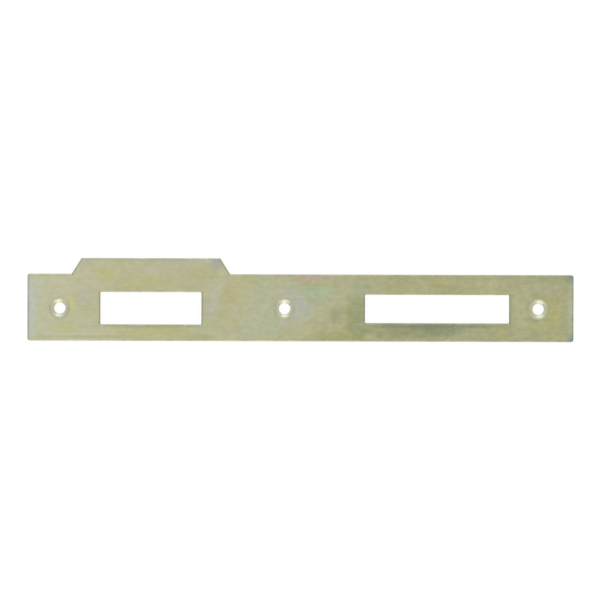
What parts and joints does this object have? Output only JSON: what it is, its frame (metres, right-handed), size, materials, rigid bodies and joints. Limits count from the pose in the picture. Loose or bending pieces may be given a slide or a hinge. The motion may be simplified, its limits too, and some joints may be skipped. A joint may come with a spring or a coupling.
{
  "type": "door strike plate",
  "caption": "Flat lipped strike plate for a mortise lock, plated steel, with a latch opening, a bolt opening and countersunk screw holes.",
  "frame": {"origin": "middle of the plate without its lip, on the back face that lies against the door frame", "axes": "+X along the plate from the latch end to the bolt end, +Y towards the lip, +Z out of the front face"},
  "size_m": [0.204, 0.0309, 0.003],
  "materials": {
    "plated_steel": "zinc plated and yellow passivated, satin"
  },
  "bodies": {
    "root": {"strike_plate": "plated_steel"}
  },
  "joints": []
}
